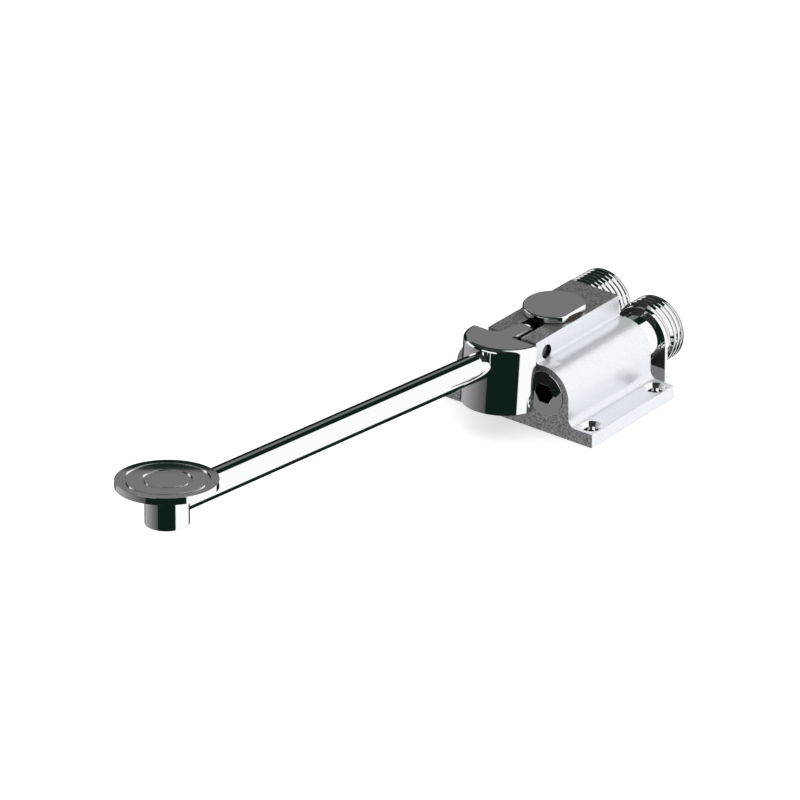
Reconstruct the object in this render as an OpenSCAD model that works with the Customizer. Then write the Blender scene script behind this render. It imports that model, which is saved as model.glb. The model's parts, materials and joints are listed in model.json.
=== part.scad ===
// Foot pedal tap valve: a floor-mounted valve body with two water connections side by side
// and a long sprung pedal lever. Pressing the pedal lifts the valve off its seat.
// Millimetres. The origin is on the underside, at the centre of the four screw holes and on
// the axis of the valve. The pedal points along -Y, the connections along +Y, right is +X.

/* [Body] */
// Length of the extruded body
body_l = 41.5; // [40:0.5:60]
// Width of the base flange
flange_w = 60.4; // [60:0.2:80]
// Thickness of the base flange
flange_t = 4.5; // [3.5:0.5:7]
// Distance between the two water passages
lobe_spacing = 24; // [24:0.5:27]
// Radius of the round lobe over each water passage
lobe_r = 9.3; // [9.1:0.1:10]
// Height of the water passages
lobe_z = 12.8; // [12.6:0.2:14]
// Width of the valve tower
tower_w = 18.2; // [18:0.1:19]
// Height of the valve tower
tower_h = 28.8; // [28.4:0.2:32]
// Radius of the hollow between flange and lobe
base_fillet_r = 2.6; // [1:0.2:3.4]
// Radius of the hollow between lobe and tower
crest_fillet_r = 1; // [0.4:0.2:1.6]

/* [Base screw holes] */
// Distance between the holes across the body
hole_spacing_x = 52.8; // [52.4:0.2:53]
// Distance between the holes along the body
hole_spacing_y = 32.3; // [28:0.1:32.6]
// Diameter of the holes
hole_d = 4.3; // [3.5:0.1:5]
// Diameter of the countersinks
csk_d = 7; // [6:0.1:7.2]

/* [Water passages] */
// Diameter of each water passage
passage_d = 10; // [8:0.5:11]
// Diameter of the threaded sockets at both ends of a passage
socket_d = 14.8; // [14:0.1:15.4]
// Length of the front plugs
plug_l = 6; // [5.4:0.2:8]
// Width across flats of the hexagon socket in a plug
hex_af = 6; // [5.8:0.1:7]
// Depth of the hexagon socket
hex_depth = 4.6; // [4.4:0.1:4.8]
// Thickness of the flat sealing rings
seal_t = 1.2; // [1:0.1:2]
// Diameter of the ports between the passages and the valve
port_d = 3.8; // [3:0.2:4]

/* [Connections] */
// Outer diameter of the G 1/2 pipe thread
thread_d = 20.955; // [20.6:0.005:21.2]
// Pitch of the pipe thread
thread_pitch = 1.814; // [1.4:0.002:2]
// Depth of the pipe thread
thread_depth = 1.16; // [0.9:0.01:1.3]
// Number of thread turns on the right connection
turns_right = 4; // [3:1:6]
// Number of thread turns on the left connection
turns_left = 7; // [5:1:9]
// Diameter of the bore at the open end of a connection
mouth_d = 14.5; // [13:0.1:15]
// Length that a connection screws into the body
nipple_l = 8; // [6:0.5:9]
// Diameter of the neck between body and thread
neck_d = 13.2; // [12.6:0.1:13.6]
// Diameter of the spacer sleeve round the neck
sleeve_d = 16; // [15.4:0.1:17]
// Length of the spacer sleeve
sleeve_l = 7.1; // [5:0.1:10]
// Thickness of the rear plate
plate_t = 1.4; // [1:0.1:2.5]
// Radius of the round tops of the rear plate
plate_r = 9.6; // [8.8:0.1:10]

/* [Valve] */
// Diameter of the valve chamber
chamber_d = 10.4; // [9.6:0.1:10.8]
// Diameter of the opening in the valve seat
seat_d = 5.2; // [4.4:0.1:5.4]
// Thickness of the seat ring
seat_t = 1.5; // [1.3:0.1:2]
// Diameter of the valve stem
stem_d = 3; // [2.8:0.1:3.2]
// Diameter of the valve disc that holds the washer
disc_d = 8.6; // [8.2:0.1:9]
// Thickness of the seat washer
washer_t = 1.4; // [1.2:0.1:1.8]
// Diameter of the gland bush
gland_d = 12.4; // [12:0.1:12.8]
// Length of the gland bush
gland_l = 5; // [4.6:0.1:5.2]
// Wire thickness of the valve spring
wire_d = 0.5; // [0.4:0.05:0.6]
// Mean diameter of the valve spring
spring_d = 5.4; // [5:0.1:5.8]
// Number of turns of the valve spring
spring_turns = 4; // [3:1:5]

/* [Cap] */
// Diameter of the cap over the valve
cap_d = 19.2; // [18:0.1:20]
// Thickness of the cap's head
cap_t = 1.85; // [1.6:0.05:2.6]
// Distance from the valve axis to the flat on the cap
cap_flat = 7.7; // [7.5:0.1:9]
// Diameter of the cap's threaded skirt
cap_skirt_d = 14.7; // [14.2:0.1:15.4]
// Thickness of the sealing ring under the cap
cap_seal_t = 0.55; // [0.4:0.05:1]

/* [Pivot] */
// Depth of the pivot below the top of the tower
pivot_drop = 4.8; // [4.4:0.1:5]
// Distance from the pivot to the valve axis
pivot_arm = 15.55; // [15:0.05:16.4]
// Diameter of the pivot pin
pin_d = 4.5; // [4:0.1:4.8]
// Depth of each end of the pin below the side of the tower
pin_recess = 1.1; // [0.4:0.1:2]

/* [Lever] */
// Gap between the body and the back of the lever head, at the rod's height
head_gap = 4.4; // [4:0.1:5.4]
// Radius of the half-round lever head
head_r = 12.3; // [10.4:0.1:13]
// Distance from the rod's axis to the top of the lever head
head_top = 6.5; // [6.2:0.1:7.5]
// Distance from the rod's axis to the underside of the lever head
head_drop = 14.7; // [12:0.1:16]
// Radius of the round rim at the top of the lever head
head_rim = 1.3; // [0.5:0.1:1.8]
// Width of the arm that runs back from the head
arm_w = 5.2; // [4.6:0.1:5.6]
// Play between the arm and each side of its slot
slot_play = 0.7; // [0.4:0.1:0.9]
// Radius of the hollow between head and arm on the left
arm_fillet_left = 3; // [1.5:0.1:3.2]
// Radius of the hollow between head and arm on the right
arm_fillet_right = 0.6; // [0.4:0.1:2]
// Radius of the eye round the valve stem
eye_r = 4.2; // [3.9:0.1:4.4]
// Diameter of the hole in the eye
eye_hole_d = 4.6; // [4.4:0.1:5]

/* [Pedal] */
// Diameter of the pedal rod
rod_d = 8.4; // [7.5:0.1:9]
// Wall thickness of the pedal rod, which is a tube
rod_wall = 1.5; // [1:0.1:1.7]
// Upward tilt of the rod at rest
rod_tilt = 5.5; // [3:0.5:6]
// Distance from the head's back to the middle of the pedal, along the rod
rod_reach = 154.3; // [120:0.1:200]
// Diameter of the round pedal plate
pedal_d = 29.5; // [26:0.5:50]
// Thickness of the pedal plate
pedal_t = 2.1; // [1.8:0.1:4]
// Diameter of the boss under the pedal plate
boss_d = 12.8; // [12:0.1:16]
// Distance from the rod's axis to the top of the boss
boss_top = 5.3; // [5:0.05:8]
// Distance from the rod's axis to the bottom of the boss
boss_drop = 6; // [5.8:0.1:9]
// Turn of the pedal round the rod to the left, as it was clamped
pedal_roll = 3.3; // [-5:0.1:5]
// Diameters of the two ring grooves in the pedal plate
groove_ds = [13.7, 24];
// Diameter of the stud under the pedal plate
stud_d = 5; // [4:0.1:5.4]

/* [Hidden] */
$fn = 96;

eps = 0.01;
// Clearance between pieces that are screwed or pressed together
seat_fit = 0.04;
// Radial clearance of pieces that slide or turn in each other
run_fit = 0.06;
// Play between the lever eye and what it lifts
lift_play = 0.15;
// Small bevel on turned edges
edge = 0.3;
// How far a cut runs past the solid it opens
over = 1;
// How far a hollow's block reaches into the solids beside it
sink = 0.5;
// Least thickness at the rim of the hollow beside a lobe
hollow_step = 0.02;

front_y = -body_l / 2;
rear_y = body_l / 2;
passage_r = passage_d / 2;
socket_r = socket_d / 2;
port_r = port_d / 2;
skirt_w = lobe_spacing + 2 * lobe_r;
socket_rear_depth = nipple_l + seal_t;

// Heights of the valve, from the water passages upwards
port_step = 4.2;
outlet_roof = 0.25;
inlet_floor = 0.45;
outlet_z = lobe_z - port_step;
seat_z = outlet_z + port_r + outlet_roof;
lip_h = 0.3;
lip_w = 0.6;
rest_gap = 0.03;
seal_play = 0.2;
washer_z = seat_z + seat_t + lip_h + rest_gap;
disc_skirt = 0.8;
disc_z = washer_z + washer_t;
disc_t = 1;
cup_wall = 0.6;
inlet_z = seat_z + seat_t + port_r + inlet_floor;
outlet_r = 3.4;
outlet_depth = 1;
outlet_floor_z = outlet_z - port_r - outlet_depth;
spring_gap = 0.05;
turn_steps = 12;

// Screw that holds the seat washer in the valve disc
screw_r = 0.98;
screw_hole_r = 1;
screw_l = 2.6;
screw_head_r = 1.8;
screw_head_t = 0.7;
screw_tip = 0.2;

// Heights of the lever and what it lifts, from the pivot
pivot_z = tower_h - pivot_drop;
pivot_y = -pivot_arm;
eye_drop = 1.7;
eye_top = 1.7;
crown_r = 4.5;
pocket_play = 0.3;
pocket_z = pivot_z - eye_drop - pocket_play;
pocket_r = 6.5;
gland_z = pocket_z - gland_l;
gland_r = gland_d / 2;
gland_recess = 2.8;
gland_recess_r = 3.7;
// O-rings: section radius and height of their grooves above the bush's lower end
gland_ring_r = 0.54;
stem_ring_r = 0.62;
gland_groove_drop = 1.6;
stem_groove_drop = 1.1;
gland_groove = gland_l - gland_groove_drop;
stem_groove = gland_l - stem_groove_drop;
lift_z = pivot_z + eye_top + lift_play;
lift_washer_t = 0.6;
lift_washer_r = 3.6;
nut_t = 1.6;
nut_af = 5.5;
skirt_rise = 2.9;
skirt_z = pivot_z + skirt_rise;
skirt_room = 0.5;
stem_top_z = lift_z + lift_washer_t + nut_t;

cap_z = tower_h + cap_seal_t;
cap_skirt_r = cap_skirt_d / 2;
cap_pocket_r = 5;
cap_roof = 0.9;

// Slot in the tower and the lever arm in it
slot_w = arm_w + 2 * slot_play;
slot_depth = 5.3;
slot_floor_z = pivot_z - slot_depth;
slot_end_y = -8.95;
arm_depth = 4.4;
arm_under_z = pivot_z - arm_depth;
arm_heel = 2.2;
arm_under_y = slot_end_y - arm_heel;
arm_toe = 1.5;
arm_low_rise = 1.2;
arm_low_z = pivot_z + arm_low_rise;
arm_step_y = -12.75;
arm_end_r = 3.85;
arm_root = 1.5;

head_y = front_y - head_gap;
head_h = head_top + head_drop;
rim_step = 15;
rod_drop = 0.25;
rod_z = pivot_z - rod_drop;
rod_r = rod_d / 2;
rod_root = 2.4;
rod_end = 4.4;
grub_r = 2;
grub_l = 5;
grub_af = 2;
grub_hex_depth = 2.2;
boss_floor = 1;
stud_gap = 0.4;
groove_w = 0.7;
groove_depth = 0.4;

sleeve_r = sleeve_d / 2;
neck_r = neck_d / 2;
plate_y = rear_y + sleeve_l;
thread_y = plate_y + plate_t;
thread_r = thread_d / 2;
thread_root_r = thread_r - thread_depth;
thread_crest = 0.34;
thread_valley = 0.3;
thread_end = 0.35;
mouth_step = 1.6;

// Places children on the axis of the water passage on one side, with their Z along +Y
module on_passage(side, y) {
    translate([side * lobe_spacing / 2, y, lobe_z]) rotate([-90, 0, 0]) children();
}

// Places children on the rod's axis at the back of the lever head, with -Y along the rod
module on_rod() {
    translate([0, head_y, rod_z]) rotate([-rod_tilt, 0, 0]) children();
}

// Places children on the axis of the pedal, with Z away from the rod
module on_pedal() {
    on_rod() translate([0, -rod_reach, 0]) rotate([0, -pedal_roll, 0]) children();
}

module along_x(length) {
    rotate([90, 0, 90]) linear_extrude(length, center = true) children();
}

module ring(r_out, r_in, h) {
    difference() {
        cylinder(r = r_out, h = h);
        translate([0, 0, -over]) cylinder(r = r_in, h = h + 2 * over);
    }
}

module o_ring(r_mid, r_section) {
    rotate_extrude() translate([r_mid, 0]) circle(r = r_section, $fn = 32);
}

module hexagon(af, h) {
    cylinder(r = af / 2 / cos(30), h = h, $fn = 6);
}

// Hollow corner of radius r, whose corner point is the origin, filling +X and +Y
module hollow_corner(r) {
    difference() {
        translate([-sink, -sink]) square(r + sink);
        translate([r, r]) circle(r = r);
    }
}

// Hollow between the side of the tower and the crest of a lobe
module crest_fillet() {
    side_x = tower_w / 2;
    lobe_x = lobe_spacing / 2;
    centre_x = side_x + crest_fillet_r;
    centre_z = lobe_z + sqrt(pow(lobe_r + crest_fillet_r, 2) - pow(lobe_x - centre_x, 2));
    difference() {
        polygon([
            [side_x - sink, centre_z], [centre_x, centre_z], [lobe_x, lobe_z], [side_x - sink, lobe_z]
        ]);
        translate([centre_x, centre_z]) circle(r = crest_fillet_r - hollow_step);
    }
}

module body_profile() {
    translate([-flange_w / 2, 0]) square([flange_w, flange_t]);
    translate([-skirt_w / 2, 0]) square([skirt_w, lobe_z]);
    translate([-tower_w / 2, 0]) square([tower_w, tower_h]);
    for (side = [0, 1]) mirror([side, 0]) {
        translate([lobe_spacing / 2, lobe_z]) circle(r = lobe_r);
        translate([skirt_w / 2, flange_t]) hollow_corner(base_fillet_r);
    }
}

module passage_cut(side) {
    on_passage(side, front_y - over) cylinder(r = passage_r, h = body_l + 2 * over);
    on_passage(side, front_y - over) cylinder(r = socket_r, h = plug_l + seal_t + over);
    on_passage(side, rear_y - socket_rear_depth) cylinder(r = socket_r, h = socket_rear_depth + over);
}

// Stepped vertical bore: outlet chamber, valve chamber, gland, lever pocket and cap thread
module valve_bore_cut() {
    rotate_extrude() polygon([
        [0, outlet_floor_z], [outlet_r, outlet_floor_z],
        [outlet_r, seat_z], [chamber_d / 2, seat_z],
        [chamber_d / 2, gland_z], [gland_r + seat_fit, gland_z],
        [gland_r + seat_fit, pocket_z], [pocket_r, pocket_z],
        [pocket_r, skirt_z - skirt_room], [cap_skirt_r + seat_fit, skirt_z - skirt_room],
        [cap_skirt_r + seat_fit, tower_h + over], [0, tower_h + over]
    ]);
}

module slot_cut() {
    deep_l = slot_end_y - front_y + over;
    translate([-slot_w / 2, front_y - over, slot_floor_z]) cube([slot_w, deep_l, tower_h]);
    translate([-slot_w / 2, front_y - over, pocket_z]) cube([slot_w, over - front_y, tower_h]);
}

module base_hole_cut() {
    csk_depth = (csk_d - hole_d) / 2;
    translate([0, 0, -over]) cylinder(d = hole_d, h = flange_t + 2 * over);
    translate([0, 0, flange_t - csk_depth])
        cylinder(d1 = hole_d, d2 = csk_d + 2 * eps, h = csk_depth + eps);
    translate([0, 0, flange_t]) cylinder(d = csk_d, h = base_fillet_r + over);
}

module valve_body() {
    color("gainsboro") difference() {
        rotate([90, 0, 0]) {
            linear_extrude(body_l, center = true) body_profile();
            for (side = [0, 1]) mirror([side, 0, 0]) linear_extrude(body_l, center = true) crest_fillet();
        }
        for (side = [-1, 1]) passage_cut(side);
        valve_bore_cut();
        slot_cut();
        translate([0, 0, inlet_z]) rotate([0, 90, 0]) cylinder(r = port_r, h = lobe_spacing / 2);
        translate([0, 0, outlet_z]) rotate([0, -90, 0]) cylinder(r = port_r, h = lobe_spacing / 2);
        translate([0, pivot_y, pivot_z]) rotate([0, 90, 0])
            cylinder(d = pin_d + 2 * seat_fit, h = skirt_w + 2 * over, center = true);
        for (x = [-1, 1], y = [-1, 1])
            translate([x * hole_spacing_x / 2, y * hole_spacing_y / 2, 0]) base_hole_cut();
    }
}

module front_plug(side) {
    color("silver") difference() {
        on_passage(side, front_y) rotate_extrude() polygon([
            [0, 0], [socket_r - seat_fit - edge, 0], [socket_r - seat_fit, edge],
            [socket_r - seat_fit, plug_l - edge], [socket_r - seat_fit - edge, plug_l], [0, plug_l]
        ]);
        on_passage(side, front_y - over) hexagon(hex_af, hex_depth + over);
    }
}

module flat_seal(side, y) {
    color("dimgray") on_passage(side, y) ring(socket_r - seal_play, passage_r + seal_play, seal_t);
}

module spacer_sleeve(side) {
    color("silver") on_passage(side, rear_y) ring(sleeve_r, neck_r + seat_fit, sleeve_l);
}

// Outline of one thread groove, from the middle of one crest to the next
function thread_groove(start) =
    let (flank = (thread_pitch - thread_crest - thread_valley) / 2)
    [
        [thread_r, start + thread_crest / 2],
        [thread_root_r, start + thread_crest / 2 + flank],
        [thread_root_r, start + thread_crest / 2 + flank + thread_valley],
        [thread_r, start + thread_pitch - thread_crest / 2]
    ];

module connector(side, turns) {
    thread_start = nipple_l + sleeve_l + plate_t;
    thread_l = turns * thread_pitch + thread_end;
    mouth_r = mouth_d / 2;
    mouth_start = thread_start + mouth_step;
    total = thread_start + thread_l;
    nipple_r = socket_r - seat_fit;
    color("silver") on_passage(side, rear_y - nipple_l) rotate_extrude() polygon(concat(
        [
            [passage_r, 0], [nipple_r - edge, 0], [nipple_r, edge],
            [nipple_r, nipple_l], [neck_r, nipple_l], [neck_r, thread_start],
            [thread_r, thread_start]
        ],
        [for (i = [0:turns - 1]) each thread_groove(thread_start + i * thread_pitch)],
        [
            [thread_r, total - thread_end], [thread_r - thread_end, total],
            [mouth_r + edge, total], [mouth_r, total - edge],
            [mouth_r, mouth_start], [passage_r, mouth_start - (mouth_r - passage_r) / 2]
        ]
    ));
}

module rear_plate() {
    color("silver") translate([0, thread_y, 0]) rotate([90, 0, 0]) linear_extrude(plate_t) difference() {
        union() {
            translate([-lobe_spacing / 2 - plate_r, 0]) square([lobe_spacing + 2 * plate_r, lobe_z]);
            for (side = [-1, 1]) translate([side * lobe_spacing / 2, lobe_z]) circle(r = plate_r);
        }
        for (side = [-1, 1])
            translate([side * lobe_spacing / 2, lobe_z]) circle(r = neck_r + seat_fit);
    }
}

module valve_seat() {
    r_out = chamber_d / 2 - seat_fit;
    r_in = seat_d / 2;
    color("goldenrod") translate([0, 0, seat_z]) rotate_extrude() polygon([
        [r_in, 0], [r_out, 0], [r_out, seat_t], [r_in + lip_w + lip_h, seat_t],
        [r_in + lip_w, seat_t + lip_h], [r_in, seat_t + lip_h]
    ]);
}

module gland_bush() {
    stem_bore = stem_d / 2 + run_fit;
    inner_r = stem_d / 2 + 2 * stem_ring_r + 2 * run_fit;
    outer_r = gland_r - 2 * gland_ring_r;
    inner_w = 2 * stem_ring_r + run_fit;
    outer_w = 2 * gland_ring_r + 2 * run_fit;
    color("goldenrod") translate([0, 0, gland_z]) rotate_extrude() polygon([
        [gland_recess_r, 0], [gland_r, 0], [gland_r, gland_groove - outer_w / 2],
        [outer_r, gland_groove - outer_w / 2], [outer_r, gland_groove + outer_w / 2],
        [gland_r, gland_groove + outer_w / 2], [gland_r, gland_l], [stem_bore, gland_l],
        [stem_bore, stem_groove + inner_w / 2], [inner_r, stem_groove + inner_w / 2],
        [inner_r, stem_groove - inner_w / 2], [stem_bore, stem_groove - inner_w / 2],
        [stem_bore, gland_recess], [gland_recess_r, gland_recess]
    ]);
}

module gland_o_ring() {
    color("dimgray") translate([0, 0, gland_z + gland_groove]) o_ring(gland_r - gland_ring_r, gland_ring_r);
}

module stem_o_ring() {
    color("dimgray") translate([0, 0, gland_z + stem_groove])
        o_ring(stem_d / 2 + rest_gap + stem_ring_r, stem_ring_r);
}

// Points of a round tube wound along a helix about Z, closed at both ends
function coil_ring(turn, z, r, wire_r, sides) =
    [for (k = [0:sides - 1])
        let (a = k * 360 / sides, d = r + wire_r * cos(a))
        [d * cos(360 * turn), d * sin(360 * turn), z + wire_r * sin(a)]];

module valve_spring() {
    wire_r = wire_d / 2;
    z0 = disc_z + disc_t + wire_r + spring_gap;
    z1 = gland_z + gland_recess - wire_r - spring_gap;
    count = spring_turns * turn_steps;
    sides = 6;
    points = [for (i = [0:count]) each
        coil_ring(i / turn_steps, z0 + (z1 - z0) * i / count, spring_d / 2, wire_r, sides)];
    last = count * sides;
    walls = [for (i = [0:count - 1], k = [0:sides - 1])
        let (a = i * sides + k, b = i * sides + (k + 1) % sides)
        each [[a, b, a + sides], [b, b + sides, a + sides]]];
    caps = [for (k = [1:sides - 2]) each [[0, k + 1, k], [last, last + k, last + k + 1]]];
    color("silver") polyhedron(points, concat(walls, caps));
}

module bonnet_cap() {
    top = cap_seal_t + tower_h - skirt_z + cap_t;
    under = top - cap_t;
    color("silver") difference() {
        translate([0, 0, skirt_z]) rotate_extrude() polygon([
            [0, top - cap_roof], [cap_pocket_r, top - cap_roof], [cap_pocket_r, 0],
            [cap_skirt_r, 0], [cap_skirt_r, under], [cap_d / 2, under],
            [cap_d / 2, top - edge], [cap_d / 2 - edge, top], [0, top]
        ]);
        translate([cap_flat, -cap_d, cap_z - eps]) cube([cap_d, 2 * cap_d, cap_t + over]);
    }
}

module bonnet_seal() {
    color("saddlebrown") translate([0, 0, tower_h])
        ring(min(cap_d, tower_w) / 2 - edge, cap_skirt_r + seat_fit, cap_seal_t);
}

module pivot_pin() {
    length = tower_w - 2 * pin_recess;
    r = pin_d / 2;
    color("silver") translate([-length / 2, pivot_y, pivot_z]) rotate([0, 90, 0]) rotate_extrude()
        polygon([[0, 0], [r - edge, 0], [r, edge], [r, length - edge], [r - edge, length], [0, length]]);
}

module valve_stem() {
    stem_r = stem_d / 2;
    disc_r = disc_d / 2;
    hole_top_z = washer_z + washer_t + screw_l + 2 * screw_tip;
    color("silver") rotate_extrude() polygon([
        [screw_hole_r, disc_z], [disc_r - cup_wall, disc_z], [disc_r - cup_wall, disc_z - disc_skirt],
        [disc_r, disc_z - disc_skirt], [disc_r, disc_z + disc_t], [stem_r, disc_z + disc_t],
        [stem_r, stem_top_z - edge], [stem_r - edge, stem_top_z], [0, stem_top_z],
        [0, hole_top_z + screw_tip], [screw_hole_r, hole_top_z]
    ]);
}

module seat_washer() {
    color("dimgray") translate([0, 0, washer_z])
        ring(disc_d / 2 - cup_wall - seat_fit, screw_hole_r + seat_fit, washer_t);
}

module washer_screw() {
    color("goldenrod") translate([0, 0, washer_z]) rotate_extrude() polygon([
        [0, -screw_head_t], [screw_head_r - edge, -screw_head_t], [screw_head_r, edge - screw_head_t],
        [screw_head_r, 0], [screw_r, 0], [screw_r, washer_t + screw_l],
        [0, washer_t + screw_l + screw_tip]
    ]);
}

module lift_washer() {
    color("silver") translate([0, 0, lift_z]) ring(lift_washer_r, stem_d / 2 + seat_fit, lift_washer_t);
}

module stem_nut() {
    color("silver") translate([0, 0, lift_z + lift_washer_t]) difference() {
        hexagon(nut_af, nut_t);
        translate([0, 0, -over]) cylinder(r = stem_d / 2 + seat_fit, h = nut_t + 2 * over);
    }
}

// Point of the side view that lies y behind the head and z above the rod's axis
function lever_point(y, z) = [
    head_y + y * cos(rod_tilt) + z * sin(rod_tilt),
    rod_z - y * sin(rod_tilt) + z * cos(rod_tilt)
];

// Side view of the arm's high part, which shows in the slot and is flush with the head's top
module arm_high_side() {
    step_run = (arm_step_y - head_y - head_top * sin(rod_tilt)) / cos(rod_tilt);
    polygon([
        [head_y - arm_root, arm_under_z], [arm_step_y, arm_under_z],
        lever_point(step_run, head_top), lever_point(-arm_root, head_top)
    ]);
}

// Side view of the arm's low part, which runs under the cap
module arm_low_side() {
    polygon([
        [head_y - arm_root, arm_under_z], [arm_under_y, arm_under_z],
        [arm_under_y + arm_toe, pivot_z - eye_drop], [0, pivot_z - eye_drop],
        [0, arm_low_z], [head_y - arm_root, arm_low_z]
    ]);
}

// Lever eye with a crowned top, so that it lifts at the valve's axis at any angle
module lever_eye() {
    difference() {
        intersection() {
            translate([0, 0, pivot_z - eye_drop]) cylinder(r = eye_r, h = eye_drop + eye_top + over);
            translate([0, 0, pivot_z + eye_top - crown_r]) rotate([0, 90, 0])
                cylinder(r = crown_r, h = 2 * eye_r + 2 * over, center = true);
        }
        cylinder(d = eye_hole_d, h = tower_h);
    }
}

module arm_fillet(side, r) {
    intersection() {
        along_x(4 * head_r) arm_high_side();
        on_rod() translate([side * arm_w / 2, 0, -head_drop]) mirror([side < 0 ? 1 : 0, 0, 0])
            linear_extrude(head_h) hollow_corner(r);
    }
}

module lever_arm() {
    end_y = arm_step_y - arm_end_r;
    intersection() {
        along_x(arm_w) arm_high_side();
        linear_extrude(tower_h * 2) union() {
            translate([-arm_w, head_y - 2 * arm_root]) square([2 * arm_w, end_y - head_y + 3 * arm_root]);
            translate([0, end_y]) circle(r = arm_end_r);
        }
    }
    difference() {
        along_x(arm_w) arm_low_side();
        cylinder(d = eye_hole_d, h = tower_h);
    }
}

// Half-round drum that stands square on the rod, with a round rim at its top
module half_round_head() {
    on_rod() difference() {
        translate([0, 0, -head_drop]) rotate_extrude() polygon(concat(
            [[0, 0], [head_r - edge, 0], [head_r, edge]],
            [for (a = [0:rim_step:90])
                [head_r - head_rim + head_rim * cos(a), head_h - head_rim + head_rim * sin(a)]],
            [[0, head_h]]
        ));
        translate([-2 * head_r, 0, -head_drop - over]) cube([4 * head_r, 2 * head_r, head_h + 2 * over]);
    }
}

module lever_head() {
    color("silver") difference() {
        union() {
            half_round_head();
            lever_arm();
            lever_eye();
            arm_fillet(-1, arm_fillet_left);
            arm_fillet(1, arm_fillet_right);
        }
        translate([0, pivot_y, pivot_z]) rotate([0, 90, 0])
            cylinder(r = pin_d / 2 + run_fit, h = arm_w + 2 * over, center = true);
        on_rod() translate([0, -rod_root, 0]) rotate([90, 0, 0])
            cylinder(r = rod_r + seat_fit, h = 2 * head_r);
        on_rod() translate([0, -head_r / 2, -head_h]) cylinder(r = grub_r + seat_fit, h = head_h - over);
    }
}

module pedal_rod() {
    length = rod_reach + rod_end - rod_root;
    color("silver") difference() {
        on_rod() translate([0, -rod_root - seat_fit, 0]) rotate([90, 0, 0]) rotate_extrude() polygon([
            [rod_r - rod_wall, 0], [rod_r - edge, 0], [rod_r, edge],
            [rod_r, length - edge], [rod_r - edge, length], [rod_r - rod_wall, length]
        ]);
        on_pedal() cylinder(d = stud_d + 2 * seat_fit, h = rod_d + 2 * over, center = true);
    }
}

module rod_grub_screw() {
    color("dimgray") on_rod() translate([0, -head_r / 2, -rod_r - grub_l - seat_fit]) difference() {
        cylinder(r = grub_r, h = grub_l);
        translate([0, 0, -over]) hexagon(grub_af, grub_hex_depth + over);
    }
}

module pedal_boss() {
    r = boss_d / 2;
    color("silver") difference() {
        on_pedal() rotate_extrude() polygon([
            [0, -boss_drop], [r - edge, -boss_drop], [r, edge - boss_drop], [r, boss_top], [0, boss_top]
        ]);
        on_pedal() translate([0, -rod_end - 2 * seat_fit, 0]) rotate([-90, 0, 0])
            cylinder(r = rod_r + seat_fit, h = boss_d * 2);
        on_pedal() translate([0, 0, boss_floor - boss_drop])
            cylinder(d = stud_d + 2 * seat_fit, h = boss_top + boss_drop);
    }
}

module pedal_plate() {
    r = pedal_d / 2;
    stud_z = boss_floor + stud_gap - boss_drop;
    color("silver") difference() {
        on_pedal() rotate_extrude() polygon([
            [0, stud_z], [stud_d / 2 - edge, stud_z], [stud_d / 2, stud_z + edge],
            [stud_d / 2, boss_top], [r - edge, boss_top], [r, boss_top + edge],
            [r, boss_top + pedal_t - edge], [r - edge, boss_top + pedal_t], [0, boss_top + pedal_t]
        ]);
        for (d = groove_ds) on_pedal() translate([0, 0, boss_top + pedal_t - groove_depth])
            ring(d / 2 + groove_w / 2, d / 2 - groove_w / 2, groove_depth + over);
    }
}

valve_body();
rear_plate();
front_plug(1);  // front_plug_right
front_plug(-1);  // front_plug_left
flat_seal(1, front_y + plug_l);  // plug_seal_right
flat_seal(-1, front_y + plug_l);  // plug_seal_left
connector(1, turns_right);  // connector_right
connector(-1, turns_left);  // connector_left
flat_seal(1, rear_y - socket_rear_depth);  // connector_seal_right
flat_seal(-1, rear_y - socket_rear_depth);  // connector_seal_left
spacer_sleeve(1);  // spacer_sleeve_right
spacer_sleeve(-1);  // spacer_sleeve_left
valve_seat();
gland_bush();
gland_o_ring();
stem_o_ring();
valve_spring();
bonnet_cap();
bonnet_seal();
pivot_pin();
valve_stem();
seat_washer();
washer_screw();
lift_washer();
stem_nut();
lever_head();
pedal_rod();
rod_grub_screw();
pedal_boss();
pedal_plate();
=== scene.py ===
"""Looks of a foot pedal tap valve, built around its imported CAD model.

All lengths are in metres. The origin is on the underside of the base, at the centre of the four
screw holes; +Z is up, the pedal points along -Y, the connections along +Y and +X is the right.
"""

from __future__ import annotations

import json
import logging
import math
from contextlib import contextmanager
from dataclasses import dataclass, field
from enum import Enum
from typing import Callable, Iterable, Iterator, NamedTuple, Optional, Sequence

import bmesh
import bpy
from mathutils import Matrix, Vector

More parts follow.
